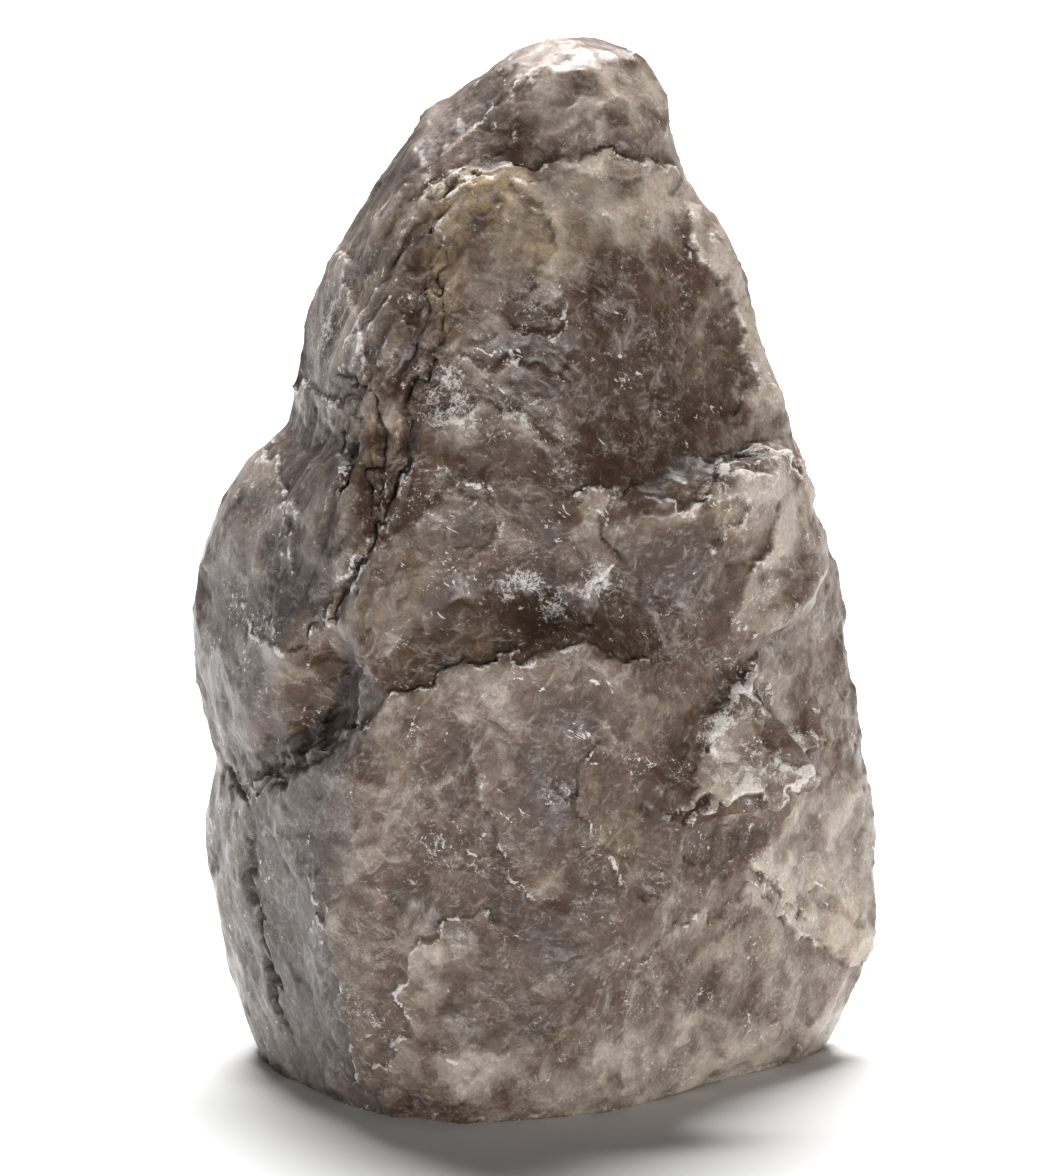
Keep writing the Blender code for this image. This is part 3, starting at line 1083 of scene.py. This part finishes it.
class Graph:
    """Short ways to place and join the nodes of one tree."""

    def __init__(self, tree: bpy.types.NodeTree) -> None:
        """Keeps the tree that nodes are placed in.

        Args:
            tree: the tree.
        """
        self.tree = tree

    def node(self, kind: str, **settings: object) -> bpy.types.Node:
        """Places a node.

        Args:
            kind: the node's type.
            settings: the node's own properties.

        Returns:
            the node.
        """
        made = self.tree.nodes.new(kind)
        for name, value in settings.items():
            setattr(made, name, value)
        return made

    def feed(self, target: Socket, source: object) -> None:
        """Links a socket to the target, or sets the target to a plain value.

        Args:
            target: the socket that is fed.
            source: the socket or the plain value.
        """
        if isinstance(source, Socket):
            self.tree.links.new(source, target)
        else:
            target.default_value = source

    def sum(self, operation: str, first: Number, second: Number = 0.0) -> Socket:
        """One step of arithmetic.

        Args:
            operation: the Math node's operation.
            first: the first number.
            second: the second number.

        Returns:
            the result.
        """
        made = self.node("ShaderNodeMath", operation=operation)
        self.feed(made.inputs[0], first)
        self.feed(made.inputs[1], second)
        return made.outputs[0]

    def rise(self, value: Socket, low: Number, high: Number, least: float = 0.0, most: float = 1.0) -> Socket:
        """A smooth rise between two levels of a value.

        Args:
            value: the value.
            low: where the rise starts.
            high: where the rise ends.
            least: the result below the rise.
            most: the result above it.

        Returns:
            the result.
        """
        made = self.node("ShaderNodeMapRange", interpolation_type="SMOOTHSTEP")
        names = ("Value", "From Min", "From Max", "To Min", "To Max")
        for name, source in zip(names, (value, low, high, least, most)):
            self.feed(made.inputs[name], source)
        return made.outputs["Result"]

    def blend(self, share: Number, first: object, second: object, kind: str = "MIX") -> Socket:
        """Mixes two colours.

        Args:
            share: how much of the second colour.
            first: the first colour.
            second: the second colour.
            kind: how the second colour acts on the first.

        Returns:
            the mixed colour.
        """
        made = self.node("ShaderNodeMix", data_type="RGBA", blend_type=kind)
        self.feed(made.inputs[0], share)
        self.feed(made.inputs[6], first)
        self.feed(made.inputs[7], second)
        return made.outputs[2]

    def noise(
        self, place: Socket, size: Number, detail: float, rough: float, twist: float = 0.0
    ) -> Socket:
        """A noise texture.

        Args:
            place: where it is looked up, in metres.
            size: its scale, in waves per metre.
            detail: how many finer layers.
            rough: how strong the finer layers are.
            twist: how far it is distorted.

        Returns:
            the noise's value.
        """
        made = self.node("ShaderNodeTexNoise", noise_type="FBM", normalize=True)
        self.feed(made.inputs["Vector"], place)
        self.feed(made.inputs["Scale"], size)
        made.inputs["Detail"].default_value = detail
        made.inputs["Roughness"].default_value = rough
        made.inputs["Distortion"].default_value = twist
        return made.outputs["Fac"]

    def turned(
        self, place: Socket, turn: tuple[float, float, float], stretch: tuple[float, float, float]
    ) -> Socket:
        """Turns a place, then draws patterns on it out along the turned axes.

        Args:
            place: the place.
            turn: turns in degrees.
            stretch: how many times longer the pattern is along each turned axis.

        Returns:
            the new place.
        """
        made = self.node("ShaderNodeMapping", vector_type="TEXTURE")
        self.feed(made.inputs["Vector"], place)
        made.inputs["Rotation"].default_value = [math.radians(angle) for angle in turn]
        made.inputs["Scale"].default_value = stretch
        return made.outputs["Vector"]

    def vector(self, operation: str, first: object, second: object) -> Socket:
        """One step of arithmetic on vectors.

        Args:
            operation: the Vector Math node's operation.
            first: the first vector.
            second: the second vector.

        Returns:
            the resulting vector or, for a dot product, the number.
        """
        made = self.node("ShaderNodeVectorMath", operation=operation)
        self.feed(made.inputs[0], first)
        self.feed(made.inputs[1], second)
        return made.outputs["Value" if operation == "DOT_PRODUCT" else "Vector"]

    def scaled(self, vector: Socket, factor: Number) -> Socket:
        """A vector made longer or shorter.

        Args:
            vector: the vector.
            factor: how many times longer.

        Returns:
            the scaled vector.
        """
        made = self.node("ShaderNodeVectorMath", operation="SCALE")
        self.feed(made.inputs[0], vector)
        self.feed(made.inputs["Scale"], factor)
        return made.outputs["Vector"]

    def stored(self, name: str) -> Socket:
        """A value that the stone's mesh stores for each point.

        Args:
            name: the value's name.

        Returns:
            the value.
        """
        return self.node("ShaderNodeAttribute", attribute_type="GEOMETRY", attribute_name=name).outputs["Fac"]


def new_group(
    name: str, inputs: dict[str, str], outputs: dict[str, str]
) -> tuple[Graph, dict[str, Socket], dict[str, Socket]]:
    """Starts a node group with named inputs and outputs.

    Args:
        name: the group's name.
        inputs: each input's name and socket type.
        outputs: each output's name and socket type.

    Returns:
        the group's graph, the sockets its inputs come from, and the sockets its outputs go to.
    """
    tree = bpy.data.node_groups.new(name, "ShaderNodeTree")
    for title, kind in inputs.items():
        tree.interface.new_socket(name=title, in_out="INPUT", socket_type=kind)
    for title, kind in outputs.items():
        tree.interface.new_socket(name=title, in_out="OUTPUT", socket_type=kind)
    start = tree.nodes.new("NodeGroupInput")
    end = tree.nodes.new("NodeGroupOutput")
    return Graph(tree), {s.name: s for s in start.outputs}, {s.name: s for s in end.inputs}


VECTOR, FLOAT = "NodeSocketVector", "NodeSocketFloat"


def plate_group() -> bpy.types.NodeTree:
    """Cloudy fracture plates inside the stone: each shades across its face and ends at a crisp rim.

    Returns:
        the group.
    """
    graph, given, wanted = new_group(
        "fracture_plates", {"Place": VECTOR, "Scale": FLOAT, "Bend": FLOAT}, {"Tone": FLOAT, "Rim": FLOAT}
    )
    stir = graph.node("ShaderNodeTexNoise")
    graph.feed(stir.inputs["Vector"], given["Place"])
    graph.feed(stir.inputs["Scale"], graph.sum("MULTIPLY", given["Scale"], 0.8))
    stir.inputs["Detail"].default_value = 5.0
    stir.inputs["Roughness"].default_value = 0.6
    bend = graph.vector("SUBTRACT", stir.outputs["Color"], (0.5, 0.5, 0.5))
    bent = graph.vector("ADD", given["Place"], graph.scaled(bend, given["Bend"]))
    cell = graph.node("ShaderNodeTexVoronoi", feature="F1")
    rim = graph.node("ShaderNodeTexVoronoi", feature="DISTANCE_TO_EDGE")
    for voronoi in (cell, rim):
        graph.feed(voronoi.inputs["Vector"], bent)
        graph.feed(voronoi.inputs["Scale"], given["Scale"])
    apart = graph.vector("SUBTRACT", bent, cell.outputs["Position"])
    lean = graph.vector("SUBTRACT", cell.outputs["Color"], (0.5, 0.5, 0.5))
    slope = graph.vector("DOT_PRODUCT", graph.scaled(apart, given["Scale"]), lean)
    level = graph.node("ShaderNodeSeparateColor")
    graph.feed(level.inputs[0], cell.outputs["Color"])
    step = graph.sum("MULTIPLY", graph.sum("SUBTRACT", level.outputs[2], 0.5), 0.55)
    tone = graph.sum("ADD", graph.sum("ADD", graph.sum("MULTIPLY", slope, 1.7), step), 0.5)
    graph.feed(wanted["Tone"], tone)
    line = graph.rise(rim.outputs["Distance"], 0.0, 0.045, 1.0, 0.0)
    part = graph.noise(given["Place"], graph.sum("MULTIPLY", given["Scale"], 2.2), 3.0, 0.6)
    graph.feed(wanted["Rim"], graph.sum("MULTIPLY", line, graph.rise(part, 0.50, 0.66)))
    return graph.tree


def veil_group() -> bpy.types.NodeTree:
    """Thin healed fractures inside the stone: soft wisps drawn out along one direction, in patches.

    Returns:
        the group.
    """
    graph, given, wanted = new_group(
        "healed_veils", {"Place": VECTOR, "Scale": FLOAT, "Cover": FLOAT}, {"Mask": FLOAT}
    )
    broad = graph.sum("MULTIPLY", given["Scale"], 0.18)
    wisp = graph.rise(graph.noise(given["Place"], given["Scale"], 6.0, 0.74, 0.5), 0.46, 0.68)
    patch = graph.noise(given["Place"], broad, 4.0, 0.62, 0.5)
    level = graph.sum("SUBTRACT", 0.74, given["Cover"])
    cover = graph.rise(patch, level, graph.sum("ADD", level, 0.16))
    graph.feed(wanted["Mask"], graph.sum("MULTIPLY", wisp, cover))
    return graph.tree


def fleck_group() -> bpy.types.NodeTree:
    """Small bright flecks, in clusters, where tiny fractures catch the light.

    Returns:
        the group.
    """
    graph, given, wanted = new_group(
        "bright_flecks", {"Place": VECTOR, "Scale": FLOAT, "Cover": FLOAT}, {"Mask": FLOAT}
    )
    fine = graph.noise(given["Place"], given["Scale"], 3.0, 0.62, 1.0)
    broad = graph.sum("MULTIPLY", given["Scale"], 0.12)
    patch = graph.noise(given["Place"], broad, 4.0, 0.62, 0.5)
    level = graph.sum("SUBTRACT", 0.86, graph.sum("MULTIPLY", given["Cover"], graph.rise(patch, 0.46, 0.68)))
    graph.feed(wanted["Mask"], graph.rise(fine, level, graph.sum("ADD", level, 0.05)))
    return graph.tree


def crush_group() -> bpy.types.NodeTree:
    """Crushed white stone along proud edges and over frosted ground: grains, and short fine strokes.

    Returns:
        the group.
    """
    graph, given, wanted = new_group(
        "crushed_edges", {"Place": VECTOR, "Crest": FLOAT, "Frost": FLOAT, "Rim": FLOAT}, {"Mask": FLOAT}
    )
    grains = graph.noise(given["Place"], 800.0, 5.0, 0.72, 0.9)
    strand = graph.noise(given["Place"], 230.0, 5.0, 0.60, 0.5)
    fold = graph.sum("ABSOLUTE", graph.sum("SUBTRACT", strand, 0.5))
    stroke = graph.rise(fold, 0.0, 0.035, 0.16, 0.0)
    breakup = graph.sum("ADD", grains, stroke)
    gaps = graph.noise(given["Place"], 90.0, 4.0, 0.6, 0.3)
    proud = graph.rise(given["Crest"], 0.25, 0.95)
    edge = graph.sum("MULTIPLY", proud, graph.rise(gaps, 0.42, 0.62, 0.0, 1.1))
    ground = graph.sum("MULTIPLY", given["Frost"], graph.rise(gaps, 0.36, 0.60, 0.35, 1.0))
    thick = graph.sum("ADD", graph.sum("MULTIPLY", given["Frost"], 0.45), 0.60)
    level = graph.sum("ADD", edge, graph.sum("MULTIPLY", ground, thick))
    level = graph.sum("ADD", level, graph.sum("MULTIPLY", given["Rim"], 0.95))
    start = graph.sum("SUBTRACT", 0.78, graph.sum("MULTIPLY", level, 0.34))
    graph.feed(wanted["Mask"], graph.rise(breakup, start, graph.sum("ADD", start, 0.20)))
    return graph.tree


@dataclass(frozen=True)
class PlateFamily:
    """One family of cloudy plates: waves per metre, bend in metres, its shade, its rim and its own turn."""

    scale: float
    bend: float
    shade: float
    rim: float
    turn: tuple[float, float, float]
    stretch: tuple[float, float, float]


PLATE_FAMILIES = (
    PlateFamily(85.0, 6 * MM, 0.17, 0.60, (-35, 20, 70), (1.0, 1.3, 1.0)),
    PlateFamily(240.0, 2.5 * MM, 0.12, 0.50, (60, 40, -20), (1.3, 1.0, 1.0)),
)


@dataclass(frozen=True)
class QuartzFinish:
    """The stone's colours, as on a screen, and how its skin takes the light.

    Each share says how strongly a colour covers what lies under it.
    """

    milk: tuple[int, int, int] = (172, 160, 148)
    haze: tuple[int, int, int] = (138, 126, 115)
    smoke: tuple[int, int, int] = (106, 91, 79)
    dark: tuple[int, int, int] = (80, 62, 50)
    deep: tuple[int, int, int] = (62, 45, 34)
    # The grey below is painted shade, given to faces turned to the left.
    left_shade_grey: tuple[int, int, int] = (104, 102, 102)
    crushed: tuple[int, int, int] = (214, 210, 206)
    veil: tuple[int, int, int] = (180, 173, 166)
    rust: tuple[int, int, int] = (168, 146, 112)
    # The dark colour below is painted shade for hollows, creases and cracks.
    hollow_shade: tuple[int, int, int] = (54, 44, 38)
    gloss_rough: float = 0.36
    frost_rough: float = 0.62
    sheen: float = 0.27
    glow: float = 0.34
    glow_reach: tuple[float, float, float] = (4.2 * MM, 3.2 * MM, 2.4 * MM)
    index: float = 1.54
    drift_share: float = 0.50
    # The next share is how strongly the painted cooler shade covers faces turned to the left.
    left_shade_share: float = 0.34
    # The next share is how strongly thin parts are painted paler, as light shining through them.
    thin_glow_share: float = 0.30
    veil_share: float = 0.50
    # The next share is how strongly painted shade darkens hollows, creases and cracks.
    hollow_shade_share: float = 0.38
    fleck_share: float = 0.70
    streak_share: float = 0.75
    speckle_share: float = 0.34
    relief_strength: float = 0.5
    relief_depth: float = 0.4 * MM

    def material(self) -> bpy.types.Material:
        """Builds the stone's material.

        Returns:
            the material.
        """
        made = bpy.data.materials.new("smoky_quartz_stone")
        made.use_nodes = True
        made.node_tree.nodes.clear()
        graph = Graph(made.node_tree)
        place = graph.node("ShaderNodeTexCoord").outputs["Object"]
        shader = graph.node("ShaderNodeBsdfPrincipled")
        output = graph.node("ShaderNodeOutputMaterial")
        graph.feed(output.inputs["Surface"], shader.outputs["BSDF"])
        shader.inputs["IOR"].default_value = self.index
        shader.inputs["Subsurface Weight"].default_value = self.glow
        shader.inputs["Subsurface Radius"].default_value = self.glow_reach
        shader.inputs["Subsurface Scale"].default_value = 1.0
        shader.inputs["Specular IOR Level"].default_value = self.sheen
        crush = self.grouped(
            graph, "crushed_edges", Place=place, Crest=graph.stored("crest"), Frost=graph.stored("frost"),
            Rim=graph.stored("rim"),
        )
        shades, rims = self.plates(graph, place)
        veils = graph.sum("MAXIMUM", self.veils(graph, place), rims)
        colour = self.colour(graph, place, shades, veils, crush)
        graph.feed(shader.inputs["Base Color"], colour)
        graph.feed(shader.inputs["Roughness"], self.roughness(graph, place, crush))
        graph.feed(shader.inputs["Normal"], self.bump(graph, place, shades, crush))
        return made

    @staticmethod
    def plates(graph: Graph, place: Socket) -> tuple[Socket, Socket]:
        """All families of cloudy plates together.

        Args:
            graph: the material's graph.
            place: the place on the stone.

        Returns:
            how much darker or paler the plates make the stone, and how strongly a rim shows.
        """
        shades: Number = 0.0
        rims: Number = 0.0
        for family in PLATE_FAMILIES:
            made = graph.node("ShaderNodeGroup", node_tree=bpy.data.node_groups["fracture_plates"])
            graph.feed(made.inputs["Place"], graph.turned(place, family.turn, family.stretch))
            made.inputs["Scale"].default_value = family.scale
            made.inputs["Bend"].default_value = family.bend
            shade = graph.sum("MULTIPLY", graph.sum("SUBTRACT", made.outputs["Tone"], 0.5), family.shade)
            shades = graph.sum("ADD", shades, shade)
            rims = graph.sum("MAXIMUM", rims, graph.sum("MULTIPLY", made.outputs["Rim"], family.rim))
        return shades, rims

    @staticmethod
    def grouped(graph: Graph, name: str, **given: Number) -> Socket:
        """Places one of the shared groups.

        Args:
            graph: the material's graph.
            name: the group's name.
            given: what its inputs are fed with.

        Returns:
            the group's mask.
        """
        made = graph.node("ShaderNodeGroup", node_tree=bpy.data.node_groups[name])
        for title, source in given.items():
            graph.feed(made.inputs[title], source)
        return made.outputs["Mask"]

    def veils(self, graph: Graph, place: Socket) -> Socket:
        """Three families of veils, each running its own way.

        Args:
            graph: the material's graph.
            place: the place on the stone.

        Returns:
            how strongly a veil shows.
        """
        families = (
            (graph.turned(place, (0, 28, 0), (1.0, 1.0, 2.2)), 300.0, 0.25),
            (graph.turned(place, (0, -62, 0), (1.0, 1.0, 2.5)), 480.0, 0.27),
            (graph.turned(place, (20, 80, 0), (1.0, 1.0, 2.0)), 800.0, 0.28),
        )
        total: Number = 0.0
        for where, scale, cover in families:
            mask = self.grouped(graph, "healed_veils", Place=where, Scale=scale, Cover=cover)
            total = graph.sum("MAXIMUM", total, mask)
        return total

    def colour(self, graph: Graph, place: Socket, shades: Socket, veils: Socket, crush: Socket) -> Socket:
        """The stone's colour: smoke and milk with painted shadow and light in them, then a painted cooler
        shade on faces turned left, stain, a painted glow on thin edges, veils, painted shade in hollows,
        flecks and frost.

        Args:
            graph: the material's graph.
            place: the place on the stone.
            shades: how much the plates darken it.
            veils: how strongly a veil shows.
            crush: how crushed the surface is.

        Returns:
            the colour.
        """
        clouds = graph.noise(place, 70.0, 8.0, 0.66, 0.6)
        drift = graph.sum("MULTIPLY", graph.sum("SUBTRACT", clouds, 0.5), self.drift_share)
        # The stored smoke carries painted shadow below ledges and painted light on faces turned right.
        depth = graph.sum("ADD", graph.stored("smoke"), drift)
        depth = graph.sum("ADD", depth, shades)
        ramp = graph.node("ShaderNodeValToRGB")
        graph.feed(ramp.inputs["Fac"], depth)
        stops = (
            (0.0, self.milk), (0.24, self.haze), (0.46, self.smoke), (0.70, self.dark), (0.95, self.deep),
        )
        while len(ramp.color_ramp.elements) < len(stops):
            ramp.color_ramp.elements.new(0.5)
        for element, (position, tone) in zip(ramp.color_ramp.elements, stops):
            element.position = position
            element.color = from_screen(*tone)
        colour = ramp.outputs["Color"]
        # painted shade: faces turned to the left are blended towards a cooler grey
        left_shade = graph.sum("MULTIPLY", graph.stored("left_shade"), self.left_shade_share)
        colour = graph.blend(left_shade, colour, from_screen(*self.left_shade_grey))
        rusty = graph.rise(graph.noise(place, 190.0, 4.0, 0.6, 0.5), 0.40, 0.60, 0.10, 0.62)
        stain = graph.sum("MULTIPLY", graph.stored("stain"), rusty)
        colour = graph.blend(stain, colour, from_screen(*self.rust))
        # painted light: where the stone is thin, a paler colour stands in for light shining through it
        thin = graph.sum("MULTIPLY", graph.stored("thin"), self.thin_glow_share)
        colour = graph.blend(thin, colour, from_screen(*self.milk))
        colour = graph.blend(graph.sum("MULTIPLY", veils, self.veil_share), colour, from_screen(*self.veil))
        # painted shade: hollows, creases and cracks are darkened
        hollow = graph.sum("MULTIPLY", graph.stored("hollow"), self.hollow_shade_share)
        colour = graph.blend(hollow, colour, from_screen(*self.hollow_shade))
        fine = self.grouped(graph, "bright_flecks", Place=place, Scale=1100.0, Cover=0.28)
        drawn_out = graph.turned(place, (0, 35, 20), (2.2, 1.0, 1.0))
        streaks = self.grouped(graph, "bright_flecks", Place=drawn_out, Scale=520.0, Cover=0.28)
        fine = graph.sum("MULTIPLY", fine, self.fleck_share)
        flecks = graph.sum("MAXIMUM", fine, graph.sum("MULTIPLY", streaks, self.streak_share))
        colour = graph.blend(flecks, colour, from_screen(*self.crushed))
        grain = graph.rise(graph.noise(place, 1500.0, 4.0, 0.75, 0.6), 0.34, 0.66, 0.42, 0.90)
        colour = graph.blend(graph.sum("MULTIPLY", crush, grain), colour, from_screen(*self.crushed))
        speckle = graph.rise(graph.noise(place, 1100.0, 5.0, 0.8, 0.4), 0.30, 0.70, 0.0, 1.0)
        return graph.blend(self.speckle_share, colour, self.grey(graph, speckle), "SOFT_LIGHT")

    @staticmethod
    def grey(graph: Graph, value: Socket) -> Socket:
        """A value from 0 to 1 as a grey colour.

        Args:
            graph: the material's graph.
            value: the value.

        Returns:
            the grey.
        """
        made = graph.node("ShaderNodeCombineColor")
        for channel in made.inputs:
            graph.feed(channel, value)
        return made.outputs["Color"]

    def roughness(self, graph: Graph, place: Socket, crush: Socket) -> Socket:
        """Glassy on clean fractures, duller where the stone is crushed.

        Args:
            graph: the material's graph.
            place: the place on the stone.
            crush: how crushed the surface is.

        Returns:
            the roughness.
        """
        least, most = self.gloss_rough - 0.08, self.gloss_rough + 0.14
        patches = graph.rise(graph.noise(place, 110.0, 4.0, 0.6), 0.35, 0.65, least, most)
        lift = graph.sum("MULTIPLY", crush, self.frost_rough - self.gloss_rough)
        return graph.sum("ADD", patches, lift)

    def bump(self, graph: Graph, place: Socket, shades: Socket, crush: Socket) -> Socket:
        """The finest relief, too small for the mesh: plate steps, tiny facets, and grit on crushed stone.

        Args:
            graph: the material's graph.
            place: the place on the stone.
            shades: how much the plates darken the stone; paler plates stand a little proud.
            crush: how crushed the surface is.

        Returns:
            the bent normal.
        """
        waves = graph.noise(place, 330.0, 6.0, 0.62, 0.8)
        fine = graph.noise(place, 1400.0, 4.0, 0.65, 0.5)
        height = graph.sum("SUBTRACT", graph.sum("MULTIPLY", waves, 0.9), graph.sum("MULTIPLY", shades, 0.8))
        grit = graph.sum("MULTIPLY", fine, graph.sum("ADD", graph.sum("MULTIPLY", crush, 0.7), 0.25))
        made = graph.node("ShaderNodeBump")
        made.inputs["Strength"].default_value = self.relief_strength
        made.inputs["Distance"].default_value = self.relief_depth
        graph.feed(made.inputs["Height"], graph.sum("ADD", height, grit))
        return made.outputs["Normal"]


# ---------------------------------------------------------------- the studio

@dataclass(frozen=True)
class SoftBox:
    """A flat lamp: where it stands, how wide and deep it is, its power, its colour and where it points."""

    name: str
    place: tuple[float, float, float]
    width: float
    depth: float
    power: float
    colour: tuple[float, float, float] = (1.0, 1.0, 1.0)
    aim: tuple[float, float, float] = (0.0, 0.0, 0.11)


@dataclass
class Studio:
    """Floor, lamps and camera: sizes in metres, angles in degrees."""

    elevation: float = 14.0
    distance: float = 3.0
    view_height: float = 0.2822
    aim_side: float = -0.0032
    aim_height: float = 0.1124
    sensor: float = 36.0
    floor_size: float = 12.0
    floor_grey: float = 0.92
    world_light: float = 0.06
    lamps: tuple[SoftBox, ...] = (
        SoftBox("overhead", (0.0, 0.50, 1.22), 1.0, 0.20, 43.0),
        SoftBox("front_right", (0.60, -2.00, 0.11), 0.34, 0.16, 28.0, (1.0, 0.985, 0.96)),
        SoftBox("front_left", (-1.40, -1.40, 0.11), 0.34, 0.16, 2.5, (0.95, 0.98, 1.0)),
        SoftBox("backdrop", (0.0, 1.70, 1.10), 1.3, 1.3, 20.0, aim=(0.0, 1.70, 0.0)),
    )

    def build(self) -> None:
        """Places the floor, the lamps, the surrounding light and the camera."""
        self.place_floor()
        for lamp in self.lamps:
            self.place_lamp(lamp)
        self.place_world()
        self.place_camera()

    def place_floor(self) -> None:
        """A plain pale floor."""
        mesh = bpy.data.meshes.new("floor")
        half = self.floor_size / 2
        corners = [(-half, -half, 0), (half, -half, 0), (half, half, 0), (-half, half, 0)]
        mesh.from_pydata(corners, [], [(0, 1, 2, 3)])
        floor = bpy.data.objects.new("floor", mesh)
        bpy.context.scene.collection.objects.link(floor)
        paint = bpy.data.materials.new("floor_white")
        paint.use_nodes = True
        shader = paint.node_tree.nodes["Principled BSDF"]
        shader.inputs["Base Color"].default_value = (self.floor_grey, self.floor_grey, self.floor_grey, 1.0)
        shader.inputs["Roughness"].default_value = 0.9
        shader.inputs["Specular IOR Level"].default_value = 0.0
        mesh.materials.append(paint)

    def place_lamp(self, lamp: SoftBox) -> None:
        """Hangs one lamp, turned towards what it lights.

        Args:
            lamp: the lamp.
        """
        light = bpy.data.lights.new(lamp.name, "AREA")
        light.shape = "RECTANGLE"
        light.size = lamp.width
        light.size_y = lamp.depth
        light.energy = lamp.power
        light.color = lamp.colour
        obj = bpy.data.objects.new(lamp.name, light)
        obj.location = lamp.place
        aim = Vector(lamp.aim) - obj.location
        obj.rotation_euler = aim.to_track_quat("-Z", "Y").to_euler()
        bpy.context.scene.collection.objects.link(obj)

    def place_world(self) -> None:
        """Even white light from all round."""
        world = bpy.data.worlds.new("white_surround")
        world.use_nodes = True
        world.node_tree.nodes["Background"].inputs["Color"].default_value = (1.0, 1.0, 1.0, 1.0)
        world.node_tree.nodes["Background"].inputs["Strength"].default_value = self.world_light
        bpy.context.scene.world = world

    def place_camera(self) -> None:
        """A camera a little above the stone, looking level along +Y and down."""
        camera = bpy.data.cameras.new("camera")
        camera.sensor_width = self.sensor
        camera.lens = self.sensor * self.distance / self.view_height
        camera.clip_end = 50.0
        tilt = math.radians(self.elevation)
        back = Vector((0.0, -math.cos(tilt), math.sin(tilt)))
        up = Vector((0.0, math.sin(tilt), math.cos(tilt)))
        obj = bpy.data.objects.new("camera", camera)
        obj.location = Vector((self.aim_side, 0.0, 0.0)) + up * self.aim_height + back * self.distance
        obj.rotation_euler = (math.pi / 2 - tilt, 0.0, 0.0)
        bpy.context.scene.collection.objects.link(obj)
        bpy.context.scene.camera = obj
        bpy.context.scene.view_settings.view_transform = "Standard"


def main() -> None:
    """Builds the stone and the studio, and reports each piece."""
    logging.basicConfig(level=logging.INFO, format="%(message)s")
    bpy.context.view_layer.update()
    stone = QuartzStone().build()
    for group in (plate_group, veil_group, fleck_group, crush_group):
        group()
    stone.data.materials.clear()
    stone.data.materials.append(QuartzFinish().material())
    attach(stone, BODY)
    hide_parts(CAD_NODE)
    LOG.info("%s: %d faces", stone.name, len(stone.data.polygons))
    Studio().build()


if __name__ == "__main__":
    main()
